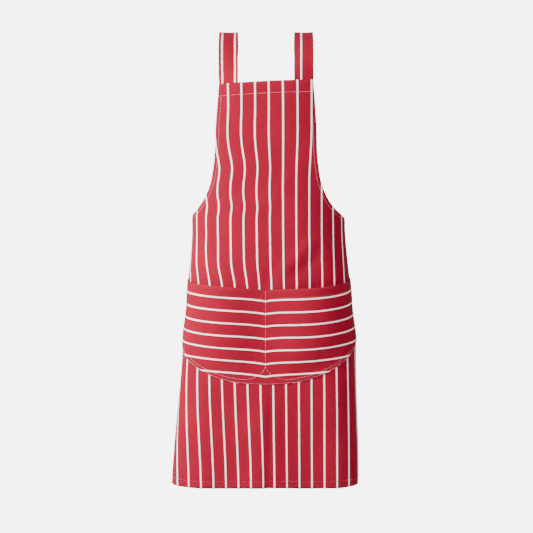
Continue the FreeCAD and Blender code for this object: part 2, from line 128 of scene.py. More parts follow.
def on_form(s, z):
    """The place on the form at flat distance s from the centre front, and the outward direction there."""
    z_key = round(z, 4)
    sway = sway_at(z)
    s = s - sway + CENTRE_X * smooth_step((Z_BIB - z) / BIB_HEIGHT)
    half_width, half_depth, front, power = form_at(z_key)
    xs, depths, lengths = quarter(z_key)
    full = lengths[-1]
    behind = abs(s) > full
    along = max(2.0 * full - abs(s), 0.0) if behind else abs(s)
    x = float(np.interp(along, lengths, xs))
    depth = float(np.interp(along, lengths, depths))
    out_x = (x / half_width) ** (power - 1.0) / half_width
    out_y = -((1.0 - depth / half_depth) ** (power - 1.0)) / half_depth
    if behind:
        depth = 2.0 * half_depth - depth
        out_y = -out_y
    side = 1.0 if s >= 0.0 else -1.0
    return Vector((side * x + sway, front + depth, z)), Vector((side * out_x, out_y, 0.0)).normalized()


# Soft folds: flat place where each starts and ends, how far it stands out, and its half width
FOLDS = [
    ((-0.006, Z_POCKET_BOTTOM + 0.010), (-0.008, Z_HEM - 0.200), 0.0080, 0.048),
    ((0.012, Z_POCKET_BOTTOM - 0.010), (0.008, Z_HEM - 0.100), -0.0030, 0.009),
    ((-0.150, Z_POCKET_BOTTOM + 0.010), (-0.165, Z_HEM - 0.100), 0.0030, 0.034),
    ((0.165, Z_POCKET_BOTTOM + 0.030), (0.185, Z_HEM - 0.100), 0.0034, 0.030),
    ((0.120, Z_WAIST - 0.010), (0.020, Z_MOUTH + 0.030), 0.0034, 0.015),
    ((0.135, Z_WAIST - 0.050), (0.060, Z_MOUTH + 0.030), -0.0026, 0.013),
    ((0.030, Z_WAIST - 0.070), (-0.010, Z_MOUTH - 0.010), -0.0026, 0.018),
    ((-0.095, Z_BIB - 0.190), (0.030, Z_BIB - 0.205), 0.0020, 0.020),
    ((-0.105, Z_BIB - 0.245), (0.010, Z_BIB - 0.260), -0.0018, 0.016),
    ((-0.150, Z_WAIST - 0.015), (-0.085, Z_MOUTH + 0.020), 0.0026, 0.018),
]
FOLD_FADE = 0.35             # share of its length over which a fold fades out at each end
FOLD_AT_END = 0.3
LOOSENESS = 0.0011           # how far the cloth strays at random from its folds
BIB_SLANT = 0.010            # the bib's left corner hangs this much lower than its right one
SLANT_POWER = 1.7
SKIRT_DROP = 0.004           # the hem hangs this much lower beside the centre fold
SKIRT_DROP_REACH = 0.110     # and is lowest this far from it
SKIRT_DROP_RUN = 0.240


def fold_depth(s, z):
    """How far the hanging cloth stands off the form at one flat place."""
    total = 0.0
    for (s0, z0), (s1, z1), height, width in FOLDS:
        run_s, run_z = s1 - s0, z1 - z0
        length = math.hypot(run_s, run_z)
        along = ((s - s0) * run_s + (z - z0) * run_z) / length ** 2
        across = ((s - s0) * run_z - (z - z0) * run_s) / length
        fade = smooth_step(along / FOLD_FADE + FOLD_AT_END)
        fade *= smooth_step((1.0 - along) / FOLD_FADE + FOLD_AT_END)
        total += height * fade * math.exp(-(across / width) ** 2)
    return total + LOOSENESS * noise.noise(Vector((s * 11.0, z * 5.0, 3.7)))


def hang(s, z, off):
    """The point of space at one flat place, off outside the form, with the cloth's folds."""
    point, out = on_form(s, z)
    point = point + out * (off + fold_depth(s, z))
    across = min(max(0.5 - s / BIB_WIDTH, 0.0), 1.0)
    point.z -= BIB_SLANT * smooth_step((z - Z_WAIST) / BIB_HEIGHT) * across ** SLANT_POWER
    below = smooth_step((Z_POCKET_BOTTOM - z) / SKIRT_DROP_RUN)
    point.z -= SKIRT_DROP * smooth_step(abs(s) / SKIRT_DROP_REACH) * below
    return point


def between(knots, slopes, i, span, t):
    """The place a share t of the way along a smooth curve from one knot to the next."""
    return ((2 * t ** 3 - 3 * t ** 2 + 1) * knots[i] + (t ** 3 - 2 * t ** 2 + t) * span * slopes[i]
            + (3 * t ** 2 - 2 * t ** 3) * knots[i + 1] + (t ** 3 - t ** 2) * span * slopes[i + 1])


SPAN_POINTS = 60


def armhole_curve(count):
    """Evenly stepped flat places along the right armhole, from the bib's corner to the waist corner."""
    reach = HALF_WIDTH - HALF_BIB
    knots = np.array([(HALF_BIB + a * reach, Z_BIB - b * BIB_HEIGHT) for a, b in ARMHOLE_SHARES])
    chord = np.concatenate([[0.0], np.cumsum(np.hypot(*np.diff(knots, axis=0).T))])
    slopes = np.gradient(knots, chord, axis=0)
    fine = []
    for i in range(len(knots) - 1):
        for t in np.linspace(0.0, 1.0, SPAN_POINTS, endpoint=False):
            fine.append(between(knots, slopes, i, chord[i + 1] - chord[i], t))
    fine = np.array(fine + [knots[-1]])
    way = np.concatenate([[0.0], np.cumsum(np.hypot(*np.diff(fine, axis=0).T))])
    even = np.linspace(0.0, way[-1], count)
    return list(zip(np.interp(even, way, fine[:, 0]), np.interp(even, way, fine[:, 1])))


WEAR_REACH = 0.010           # how far in from an edge the cloth is rubbed


def cloth_mesh(name, rows, material, edge_lines=()):
    """A mesh of squares from rows of (point, cloth place), the second being its UV map in metres."""
    columns = len(rows[0])
    points = [tuple(point) for row in rows for point, flat in row]
    faces = []
    for r in range(len(rows) - 1):
        for c in range(columns - 1):
            a = r * columns + c
            faces.append((a, a + 1, a + columns + 1, a + columns))
    mesh = bpy.data.meshes.new(name)
    mesh.from_pydata(points, [], faces)
    uv = mesh.uv_layers.new(name="cloth")
    flats = [flat for row in rows for point, flat in row]
    corners = np.empty(len(mesh.loops), dtype=np.int32)
    mesh.loops.foreach_get("vertex_index", corners)
    uv.data.foreach_set("uv", np.array(flats, dtype=np.float32)[corners].ravel())
    wear = mesh.attributes.new("near_edge", "FLOAT", "POINT")
    if edge_lines:
        lines = np.array([p for line in edge_lines for p in line])
        places = np.array(flats)
        nearest = np.array([np.hypot(*(lines - p).T).min() for p in places])
        wear.data.foreach_set("value", np.exp(-nearest / WEAR_REACH).astype(np.float32))
    mesh.shade_smooth()
    mesh.materials.append(material)
    piece = bpy.data.objects.new(name, mesh)
    bpy.context.scene.collection.objects.link(piece)
    return piece


def thicken(piece, thickness, offset):
    """Gives a cloth its thickness: offset -1 puts it all inwards, 0 half each way and 1 all outwards."""
    solid = piece.modifiers.new("ply", "SOLIDIFY")
    solid.thickness = thickness
    solid.offset = offset
    solid.use_even_offset = False


def shader_node(tree, kind, settings=None, **sockets):
    """A shader node with its settings, its sockets given a constant or linked to another's output."""
    made = tree.nodes.new(kind)
    for key, value in (settings or {}).items():
        setattr(made, key, value)
    for key, value in sockets.items():
        socket = made.inputs[int(key[1:])] if key[1:].isdigit() else made.inputs[key.replace("_", " ")]
        if isinstance(value, bpy.types.NodeSocket):
            tree.links.new(value, socket)
        else:
            socket.default_value = value
    return made


def calc(tree, operation, a, b=0.0, c=0.0):
    return shader_node(tree, "ShaderNodeMath", {"operation": operation}, _0=a, _1=b, _2=c).outputs[0]


def mixed_colour(tree, share, first, second):
    mix = shader_node(tree, "ShaderNodeMix", {"data_type": "RGBA"}, _0=share, _6=first, _7=second)
    return mix.outputs[2]


RED = (0.27, 0.0022, 0.0175, 1.0)
DEEP_RED = (0.205, 0.0017, 0.0155, 1.0)
STRIPE = (1.0, 0.83, 0.78, 1.0)
FADED = (0.30, 0.026, 0.046, 1.0)
STRIPE_WIDTH = 0.0038
STRIPE_PITCH = 0.0306
STRIPE_SOFTNESS = 0.0004     # half the width over which a stripe's edge fades
RAGGEDNESS = 0.0005          # how far its edge strays
RIB_PITCH = 0.0013
THREAD_PITCH = 0.0007


def striped_twill(name, along_length, first, pitch=STRIPE_PITCH):
    """Cotton twill with a woven pinstripe, down the cloth or across it, the first at that distance."""
    material = bpy.data.materials.new(name)
    material.use_nodes = True
    tree = material.node_tree
    tree.nodes.clear()
    cloth = shader_node(tree, "ShaderNodeUVMap", {"uv_map": "cloth"}).outputs[0]
    split = shader_node(tree, "ShaderNodeSeparateXYZ", None, _0=cloth)
    across, down = split.outputs[0], split.outputs[1]
    if not along_length:
        across, down = down, across

    # the stripe, whose edges step from thread to thread
    ragged = shader_node(tree, "ShaderNodeTexNoise", None, Vector=cloth, Scale=420.0, Detail=1.0)
    share = calc(tree, "DIVIDE", calc(tree, "SUBTRACT", across, first), pitch)
    place = calc(tree, "SUBTRACT", calc(tree, "FRACT", calc(tree, "ADD", share, 0.5)), 0.5)
    away = calc(tree, "MULTIPLY", calc(tree, "ABSOLUTE", place), pitch)
    away = calc(tree, "MULTIPLY_ADD", ragged.outputs[0], RAGGEDNESS, away)
    half = 0.5 * (STRIPE_WIDTH + RAGGEDNESS)
    stripe = shader_node(tree, "ShaderNodeMapRange", {"interpolation_type": "SMOOTHSTEP"}, Value=away,
                         From_Min=half + STRIPE_SOFTNESS, From_Max=half - STRIPE_SOFTNESS).outputs[0]

    # the ground colour: broad dye variation, streaks along the warp and wear where the cloth is folded
    broad = shader_node(tree, "ShaderNodeTexNoise", None, Vector=cloth, Scale=9.0, Detail=4.0)
    warp = shader_node(tree, "ShaderNodeMapping", None, Vector=cloth, Scale=(900.0, 26.0, 1.0))
    weft = shader_node(tree, "ShaderNodeMapping", None, Vector=cloth, Scale=(26.0, 900.0, 1.0))
    streak = shader_node(tree, "ShaderNodeTexNoise", None, Vector=warp.outputs[0], Scale=1.0, Detail=2.0)
    slub = shader_node(tree, "ShaderNodeTexNoise", None, Vector=weft.outputs[0], Scale=1.0, Detail=2.0)
    tone = calc(tree, "ADD", calc(tree, "MULTIPLY", broad.outputs[0], 0.55),
                calc(tree, "ADD", calc(tree, "MULTIPLY", streak.outputs[0], 0.45),
                     calc(tree, "MULTIPLY", slub.outputs[0], 0.35)))
    tone = shader_node(tree, "ShaderNodeMapRange", None, Value=tone, From_Min=0.45, From_Max=0.90).outputs[0]
    ground = mixed_colour(tree, tone, DEEP_RED, RED)
    edge = shader_node(tree, "ShaderNodeAttribute", {"attribute_name": "near_edge"}).outputs["Fac"]
    rubbed = calc(tree, "MULTIPLY", calc(tree, "POWER", edge, 3.0),
                  calc(tree, "MULTIPLY", slub.outputs[0], 0.55))
    ground = mixed_colour(tree, rubbed, ground, FADED)
    colour = mixed_colour(tree, stripe, ground, STRIPE)

    # the twill's diagonal ribs and single threads, then the puckers of a sewn edge
    slope = calc(tree, "ADD", across, down)
    diagonal = calc(tree, "SINE", calc(tree, "MULTIPLY", slope, 2.0 * math.pi / RIB_PITCH))
    threads = calc(tree, "SINE", calc(tree, "MULTIPLY", across, 2.0 * math.pi / THREAD_PITCH))
    relief = calc(tree, "ADD", calc(tree, "MULTIPLY", diagonal, 0.5), calc(tree, "MULTIPLY", threads, 0.3))
    relief = calc(tree, "MULTIPLY_ADD", slub.outputs[0], 0.8, relief)
    relief = calc(tree, "MULTIPLY_ADD", stripe, 0.5, relief)
    weave = shader_node(tree, "ShaderNodeBump", None, Height=relief, Strength=0.45, Distance=0.00022)
    crumple = shader_node(tree, "ShaderNodeTexNoise", None, Vector=cloth, Scale=75.0, Detail=2.0)
    slack = shader_node(tree, "ShaderNodeTexNoise", None, Vector=cloth, Scale=17.0, Detail=3.0)
    crumple_near_edge = calc(tree, "MULTIPLY", crumple.outputs[0], edge)
    pucker = calc(tree, "MULTIPLY_ADD", crumple_near_edge, 0.35, slack.outputs[0])
    soft = shader_node(tree, "ShaderNodeBump", None, Height=pucker, Strength=0.35, Distance=0.0045,
                       Normal=weave.outputs[0])
    rough = shader_node(tree, "ShaderNodeMapRange", None, Value=tone, To_Min=0.90, To_Max=0.80).outputs[0]
    cotton = shader_node(tree, "ShaderNodeBsdfPrincipled", None, Base_Color=colour, Roughness=rough,
                         Normal=soft.outputs[0], Sheen_Weight=0.05, Sheen_Roughness=0.4,
                         Sheen_Tint=(1.0, 0.35, 0.42, 1.0))
    cotton.inputs["Specular IOR Level"].default_value = 0.12
    output = shader_node(tree, "ShaderNodeOutputMaterial")
    tree.links.new(cotton.outputs[0], output.inputs[0])
    return material


STRIPE_START = 0.0056        # flat distance of one body stripe from the centre front, at the bib's top
STRIPE_LEAN = 0.0140         # the stripes lean this much for each metre down

# pulls at the left: height, half height of the stretch, and how far the stripes shift there
TUGS = [(Z_BIB - 0.195, 0.034, 0.0070), (Z_BIB - 0.110, 0.040, -0.0030), (Z_BIB - 0.285, 0.020, 0.0040)]


def near(z, middle, reach):
    return math.exp(-((z - middle) / reach) ** 2)


def stripe_shift(s, z):
    """How far the hanging cloth has slid sideways: its lean, and the drag of the pocket and the armholes."""
    leftness = smooth_step((0.060 - s) / 0.150)
    tug = sum(shift * near(z, middle, reach) for middle, reach, shift in TUGS)
    tug += 0.0085 * smooth_step((Z_MOUTH + 0.070 - z) / 0.070) * smooth_step((z - Z_POCKET_BOTTOM) / 0.150)
    spread = 0.0065 * smooth_step(s / 0.130) * smooth_step((z - Z_BIB + 0.240) / 0.140)
    below = smooth_step((Z_MOUTH - z) / POCKET_HEIGHT)
    fold = 0.0040 * smooth_step((0.010 - s) / 0.020) * smooth_step((Z_POCKET_BOTTOM - z) / 0.240)
    return STRIPE_LEAN * (Z_BIB - z) + tug * leftness + spread + 0.0028 * below + fold


body_twill = striped_twill("body_twill", True, STRIPE_START)
armhole = armhole_curve(ARMHOLE_ROWS)
skirt = [(HALF_WIDTH, z) for z in np.linspace(Z_WAIST, Z_HEM, SKIRT_ROWS)[1:]]
right_side = armhole + skirt
left_side = [(-s, z) for s, z in right_side]
across_count = int(APRON_WIDTH / PANEL_STEP) + 1
body_rows = []
for half, z in right_side:
    row = []
    for s in np.linspace(-half, half, across_count):
        row.append((hang(s, z, TWILL), (s - stripe_shift(s, z), z)))
    body_rows.append(row)
top_edge = [(s, Z_BIB) for s in np.linspace(-HALF_BIB, HALF_BIB, 60)]
hem_edge = [(s, Z_HEM) for s in np.linspace(-HALF_WIDTH, HALF_WIDTH, 160)]
body_panel = cloth_mesh("twill_body_panel", list(reversed(body_rows)), body_twill,
                        edge_lines=(right_side, left_side, top_edge, hem_edge))
thicken(body_panel, PLY_SHARE * TWILL, -1.0)
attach(body_panel, "root")
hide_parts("body_panel")

# ---- Hems ---------------------------------------------------------------------------------------------
# The body panel's own edges, each turned once to the inside and topstitched: a deep one along the bib's
# top, narrow ones round the armholes and down the sides, and a wide one along the bottom.

BIB_HEM = 0.028
ARMHOLE_HEM = 0.010
SIDE_HEM = 0.012
BOTTOM_HEM = 0.020
TURN = 0.0005                # how far the fold itself stands out past the cut
HEM_PLY = 0.6 * TWILL        # thickness of the ply turned in


def turned_edge(name, route, depth, node, under, material, swell=None):
    """A hem along a flat route, with the cloth on the route's right: the fold, then the ply under it."""
    profile = [(0.0, under + TWILL + GAP), (-TURN, under + HEM_PLY), (0.0, under - 0.2 * TWILL)]
    profile += [(depth * share, under) for share in (0.1, 0.3, 0.5, 0.7, 0.9, 1.0)]
    rows = []
    for i, (s, z) in enumerate(route):
        s0, z0 = route[max(i - 1, 0)]
        s1, z1 = route[min(i + 1, len(route) - 1)]
        length = math.hypot(s1 - s0, z1 - z0)
        in_s, in_z = (z1 - z0) / length, -(s1 - s0) / length
        row = []
        for reach, off in profile:
            flat_s, flat_z = s + reach * in_s, z + reach * in_z
            extra = swell(flat_s, flat_z) if swell else 0.0
            cloth_place = (s - reach * in_s - stripe_shift(s, z), z - reach * in_z)
            row.append((hang(flat_s, flat_z, off + extra), cloth_place))
        rows.append(row)
    piece = cloth_mesh(name, rows, material)
    thicken(piece, HEM_PLY, 0.0)
    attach(piece, "root")
    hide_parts(node)
    return piece


def line_of(start, end, count):
    return list(zip(np.linspace(start[0], end[0], count), np.linspace(start[1], end[1], count)))


def mirrored(route):
    return [(-s, z) for s, z in reversed(route)]


UNDER = -GAP - 0.5 * TWILL
below_bib_hem = [p for p in armhole if p[1] < Z_BIB - BIB_HEM]
side_line = line_of((HALF_WIDTH, Z_WAIST - ARMHOLE_HEM), (HALF_WIDTH, Z_HEM + BOTTOM_HEM), 80)
bib_line = line_of((-HALF_BIB, Z_BIB), (HALF_BIB, Z_BIB), 40)
bottom_line = line_of((HALF_WIDTH, Z_HEM), (-HALF_WIDTH, Z_HEM), 120)
HEMS = [
    ("twill_bib_top_hem", bib_line, BIB_HEM, "bib_top_hem"),
    ("twill_right_armhole_hem", below_bib_hem, ARMHOLE_HEM, "right_armhole_hem"),
    ("twill_left_armhole_hem", mirrored(below_bib_hem), ARMHOLE_HEM, "left_armhole_hem"),
    ("twill_right_side_hem", side_line, SIDE_HEM, "right_side_hem"),
    ("twill_left_side_hem", mirrored(side_line), SIDE_HEM, "left_side_hem"),
    ("twill_bottom_hem", bottom_line, BOTTOM_HEM, "bottom_hem"),
]
for name, route, depth, node in HEMS:
    turned_edge(name, route, depth, node, UNDER, body_twill)
cut_area = APRON_WIDTH * (Z_WAIST - Z_HEM)
for (s0, z0), (s1, z1) in zip(armhole, armhole[1:]):
    cut_area += (s0 + s1) * (z0 - z1)

# ---- Pocket -------------------------------------------------------------------------------------------
# A second piece of the same twill, laid with its stripes crosswise, its mouth hemmed and its curved lower
# edge turned under.  It is sewn to the body round the sides and bottom, and down the middle into two bags.

POCKET_WIDTH = 0.484
MOUTH_DIP = 0.002            # how far the centre seam pulls the mouth down
POCKET_TOP_HEM = 0.022
POCKET_TURNING = 0.009
POCKET_FULLNESS = 0.012      # how far each bag stands off at its mouth
POCKET_OUTER_ROW = 0.002
POCKET_INNER_ROW = 0.010
POCKET_CURVE = 2.5
FORK_HEIGHT = 0.050
FORK_REACH = 0.062
HALF_POCKET = 0.5 * POCKET_WIDTH
POCKET_COLUMNS = 121
POCKET_ROWS = 57
POCKET_OFF = 2.0 * (TWILL + GAP) + TWILL
FIRST_CROSS_STRIPE = -0.0248  # from the mouth down to the first stripe


def pocket_edge(s):
    """Height of the pocket's curved lower edge."""
    share = min(abs(s) / HALF_POCKET, 1.0)
    return Z_POCKET_BOTTOM + (Z_POCKET_CORNER - Z_POCKET_BOTTOM) * share ** POCKET_CURVE


def pocket_mouth(s):
    """Height of the mouth, which dips to the centre seam, quickly at first and then along a slack line."""
    share = min(abs(s) / HALF_POCKET, 1.0)
    if s < 0.0:
        rise = 1.3 * (1.0 - math.exp(-3.0 * share))
    else:
        rise = 0.5 * (1.0 - math.exp(-8.0 * share)) + 1.1 * share ** 2.2
    return Z_MOUTH - MOUTH_DIP + POCKET_MOUTH_SAG * rise


def inner_row(s):
    """Height of the inner row of stitching, which turns up into the centre line."""
    turn = max(1.0 - abs(s) / FORK_REACH, 0.0)
    rise = (FORK_HEIGHT - POCKET_INNER_ROW) * (1.0 - math.sqrt(1.0 - turn ** 2))
    return pocket_edge(s) + POCKET_INNER_ROW + rise


def pocket_swell(s, z):
    """How far a bag stands off the body panel: nothing along the stitching, most at the mouth."""
    across = abs(s) / (HALF_POCKET - POCKET_INNER_ROW)
    if across >= 1.0:
        return 0.0
    rise = smooth_step((z - inner_row(s)) / (0.4 * POCKET_HEIGHT))
    return POCKET_FULLNESS * math.sin(math.pi * across) ** 2 * rise


pocket_twill = striped_twill("pocket_twill", False, FIRST_CROSS_STRIPE)
flats = np.linspace(-HALF_POCKET, HALF_POCKET, POCKET_COLUMNS)
pocket_rows = []
for share in np.linspace(0.0, 1.0, POCKET_ROWS):
    row = []
    for s in flats:
        z = pocket_edge(s) + share * (pocket_mouth(s) - pocket_edge(s))
        row.append((hang(s, z, POCKET_OFF + pocket_swell(s, z)), (s, z - pocket_mouth(s))))
    pocket_rows.append(row)
rim = [[(s, pocket_edge(s) - pocket_mouth(s)) for s in flats], [(s, 0.0) for s in flats]]
for side in (-HALF_POCKET, HALF_POCKET):
    rim.append([(side, z) for z in np.linspace(0.0, -POCKET_SIDE_HEIGHT, 40)])
pocket_panel = cloth_mesh("twill_pocket_panel", pocket_rows, pocket_twill, edge_lines=rim)
thicken(pocket_panel, PLY_SHARE * TWILL, -1.0)
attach(pocket_panel, "root")
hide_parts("pocket_panel")

FOLD_MIDDLE = TWILL + GAP + 0.5 * TWILL
mouth_line = [(s, pocket_mouth(s)) for s in np.linspace(-HALF_POCKET, HALF_POCKET, 90)]
mouth_hem = turned_edge("twill_pocket_mouth_hem", mouth_line, POCKET_TOP_HEM, "pocket_mouth_hem", FOLD_MIDDLE,
                        pocket_twill, pocket_swell)
side_top = Z_MOUTH + POCKET_MOUTH_SAG
turning_route = line_of((HALF_POCKET, side_top), (HALF_POCKET, Z_POCKET_CORNER), 30)
turning_route += [(s, pocket_edge(s)) for s in np.linspace(HALF_POCKET, -HALF_POCKET, POCKET_COLUMNS)[1:-1]]
turning_route += line_of((-HALF_POCKET, Z_POCKET_CORNER), (-HALF_POCKET, side_top), 30)
turning = turned_edge("twill_pocket_turning", turning_route, POCKET_TURNING, "pocket_turning", FOLD_MIDDLE,
                      pocket_twill)

# ---- Shoulder straps ----------------------------------------------------------------------------------
# Two straps of the same twill folded double, sewn behind the bib's corners.  Each runs up over the shoulder,
# crosses the other on the back and is sewn to the waist corner on the far side.

STRAP_WIDTH = 0.044
STRAP_THICKNESS = 0.0016
STRAP_FRONT_LAP = 0.026
STRAP_BACK_LAP = 0.040
STRAP_CROSS_LIFT = 0.004
STRAP_SHOULDER_X = 0.087
STRAP_BACK_X = 0.091
STRAP_BACK_OFF = 0.0025
STRAP_CORNER_INSET = 0.032
STRAP_OFF = -2.0 * GAP - TWILL - 0.5 * STRAP_THICKNESS
STRAP_RISE = -Z_BIB
STRAP_ROWS = 190
STRAP_COLUMNS = 13
STRAP_PLIES = 0.85           # share of the strap's thickness that its two plies fill
STRAP_FOLD = 0.0004          # roundness of its folded edges
STRAP_RIPPLE = 0.0006
RIPPLES = 23.0
FIRST_RIGHT_STRIPE = 0.0060  # flat place of a stripe across each strap, and the pitch on the left one
FIRST_LEFT_STRIPE = -0.0150
LEFT_STRIPE_PITCH = 0.0290


def half_girth(z):
    return quarter(round(z, 4))[2][-1]


def behind(across, z, off):
    """A point on the wearer's back, across the form from the centre back, and its outward direction."""
    reach = 2.0 * half_girth(z) - abs(across)
    point, out = on_form(reach if across >= 0.0 else -reach, z)
    return point + out * off, out


def strap_stations(lift):
    """Places and outward directions along the strap that starts at the right of the bib."""
    flat = HALF_BIB - 0.5 * STRAP_WIDTH
    rows = []
    for z in (Z_BIB - STRAP_FRONT_LAP, Z_BIB - 0.5 * STRAP_FRONT_LAP, Z_BIB):
        rows.append((hang(flat, z, STRAP_OFF), on_form(flat, z)[1]))
    start = rows[-1][0]
    end = behind(STRAP_BACK_X, Z_BIB, STRAP_BACK_OFF)[0]
    middle = 0.5 * (start.y + end.y)
    half = 0.5 * (end.y - start.y)
    top = STRAP_RISE - 0.5 * STRAP_THICKNESS
    for degrees in (22, 42, 66, 90, 114, 138):
        angle = math.radians(degrees)
        share = degrees / 180.0
        x = start.x + (STRAP_BACK_X - start.x) * share
        if share < 0.5:
            x = start.x + (STRAP_SHOULDER_X - start.x) * 2.0 * share
        z = Z_BIB + top * math.sin(angle) ** 0.85
        rows.append((Vector((x, middle - half * math.cos(angle), z)),
                     Vector((0.0, -math.cos(angle), math.sin(angle)))))
    z_end = Z_WAIST - STRAP_BACK_LAP
    across_end = -(2.0 * half_girth(z_end) - (HALF_WIDTH - STRAP_CORNER_INSET))
    for share in (0.0, 0.12, 0.26, 0.38, 0.50, 0.64, 0.78, 0.89, 1.0):
        across = STRAP_BACK_X + (across_end - STRAP_BACK_X) * share
        z = Z_BIB + (z_end - Z_BIB) * share
        settle = smooth_step((share - 0.5) / 0.35)
        off = STRAP_BACK_OFF + (STRAP_OFF - STRAP_BACK_OFF) * settle
        off += lift * math.exp(-((share - 0.38) / 0.16) ** 2)
        rows.append(behind(across, z, off))
    return rows


def smooth_through(knots, chord, at):
    """Values of a smooth curve through the knots, one set of numbers at each of the distances given."""
    slopes = np.gradient(knots, chord, axis=0)
    out = []
    for d in at:
        i = min(max(int(np.searchsorted(chord, d)) - 1, 0), len(chord) - 2)
        span = chord[i + 1] - chord[i]
        out.append(between(knots, slopes, i, span, (d - chord[i]) / span))
    return out


def strap(name, node, stations, material):
    knots = np.array([tuple(p) for p, n in stations])
    facing = np.array([tuple(n) for p, n in stations])
    chord = np.concatenate([[0.0], np.cumsum(np.linalg.norm(np.diff(knots, axis=0), axis=1))])
    at = np.linspace(0.0, chord[-1], STRAP_ROWS)
    centres = [Vector(p) for p in smooth_through(knots, chord, at)]
    normals = [Vector(n) for n in smooth_through(facing, chord, at)]
    rows = []
    for i, (centre, normal) in enumerate(zip(centres, normals)):
        along = (centres[min(i + 1, STRAP_ROWS - 1)] - centres[max(i - 1, 0)]).normalized()
        normal = (normal - along * normal.dot(along)).normalized()
        side = along.cross(normal)
        row = []
        for share in np.linspace(-0.5, 0.5, STRAP_COLUMNS):
            droop = STRAP_RIPPLE * math.cos(2.0 * math.pi * share) * math.sin(at[i] * RIPPLES)
            across = share * STRAP_WIDTH
            row.append((centre - side * across + normal * droop, (across, -at[i])))
        rows.append(row)
    edges = [[(side * 0.5 * STRAP_WIDTH, -d) for d in at] for side in (-1, 1)]
    piece = cloth_mesh(name, rows, material, edge_lines=edges)
    thicken(piece, STRAP_PLIES * STRAP_THICKNESS, 0.0)
    bevel = piece.modifiers.new("fold", "BEVEL")
    bevel.width = STRAP_FOLD
    bevel.segments = 2
    bevel.limit_method = "ANGLE"
    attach(piece, "root")
    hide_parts(node)
    return piece


right_stations = strap_stations(0.0)
left_stations = []
for place, facing in strap_stations(STRAP_CROSS_LIFT):
    left_stations.append((Vector((-place.x, place.y, place.z)), Vector((-facing.x, facing.y, facing.z))))
strap("twill_right_shoulder_strap", "right_shoulder_strap", right_stations,
      striped_twill("right_strap_twill", True, FIRST_RIGHT_STRIPE))
strap("twill_left_shoulder_strap", "left_shoulder_strap", left_stations,
      striped_twill("left_strap_twill", True, FIRST_LEFT_STRIPE, LEFT_STRIPE_PITCH))

# ---- Stitching ----------------------------------------------------------------------------------------
# Lockstitch in spun polyester, pale along the bib, the armholes and the pocket, and red down the sides,
# the bottom, the pocket's mouth and the boxes that hold the straps' ends.

STITCH_PITCH = 0.0033
STITCH_LENGTH = 0.0027
STITCH_WIDTH = 0.0009
STITCH_HEIGHT = 0.0006
STITCH_INSET = 0.002
STITCH_SINK = 0.2            # a stitch's middle is this share of its height off the cloth
SMALLEST_STITCH = 0.86       # the stitches vary in size between these
LARGEST_STITCH = 1.08


def stitch_tree():
    """Geometry Nodes: one rounded stitch at every step of a seam, lying along it and facing out."""
    tree = bpy.data.node_groups.new("lockstitch", "GeometryNodeTree")
    face = tree.interface
    face.new_socket("Seam", in_out="INPUT", socket_type="NodeSocketGeometry")
    for label in ("Pitch", "Length", "Width", "Height"):
        face.new_socket(label, in_out="INPUT", socket_type="NodeSocketFloat")
    face.new_socket("Seed", in_out="INPUT", socket_type="NodeSocketInt")
    face.new_socket("Thread", in_out="INPUT", socket_type="NodeSocketMaterial")
    face.new_socket("Stitches", in_out="OUTPUT", socket_type="NodeSocketGeometry")
    given = tree.nodes.new("NodeGroupInput").outputs
    link = tree.links.new

    def add(kind, **settings):
        made = tree.nodes.new(kind)
        for key, value in settings.items():
            setattr(made, key, value)
        return made

    curve = add("GeometryNodeMeshToCurve")
    link(given["Seam"], curve.inputs[0])
    steps = add("GeometryNodeResampleCurve", mode="LENGTH")
    link(curve.outputs[0], steps.inputs["Curve"])
    link(given["Pitch"], steps.inputs["Length"])
    ball = add("GeometryNodeMeshUVSphere")
    ball.inputs["Segments"].default_value = 6
    ball.inputs["Rings"].default_value = 4
    ball.inputs["Radius"].default_value = 0.5
    smooth = add("GeometryNodeSetShadeSmooth")
    link(ball.outputs[0], smooth.inputs[0])
    along = add("FunctionNodeAlignRotationToVector", axis="X")
    link(add("GeometryNodeInputTangent").outputs[0], along.inputs["Vector"])
    facing = add("GeometryNodeInputNamedAttribute", data_type="FLOAT_VECTOR")
    facing.inputs["Name"].default_value = "facing"
    up = add("FunctionNodeAlignRotationToVector", axis="Z", pivot_axis="X")
    link(along.outputs[0], up.inputs["Rotation"])
    link(facing.outputs[0], up.inputs["Vector"])
    vary = add("FunctionNodeRandomValue", data_type="FLOAT")
    vary.inputs[2].default_value = SMALLEST_STITCH
    vary.inputs[3].default_value = LARGEST_STITCH
    link(given["Seed"], vary.inputs["Seed"])
    size = add("ShaderNodeCombineXYZ")
    for i, label in enumerate(("Length", "Width", "Height")):
        link(given[label], size.inputs[i])
    sized = add("ShaderNodeVectorMath", operation="SCALE")
    link(size.outputs[0], sized.inputs[0])
    link(vary.outputs[1], sized.inputs["Scale"])
    each = add("GeometryNodeInstanceOnPoints")
    link(steps.outputs[0], each.inputs["Points"])
    link(smooth.outputs[0], each.inputs["Instance"])
    link(up.outputs[0], each.inputs["Rotation"])
    link(sized.outputs[0], each.inputs["Scale"])
    real = add("GeometryNodeRealizeInstances")
    link(each.outputs[0], real.inputs[0])
    paint = add("GeometryNodeSetMaterial")
    link(real.outputs[0], paint.inputs["Geometry"])
    link(given["Thread"], paint.inputs["Material"])
    link(paint.outputs[0], add("NodeGroupOutput").inputs[0])
    return tree


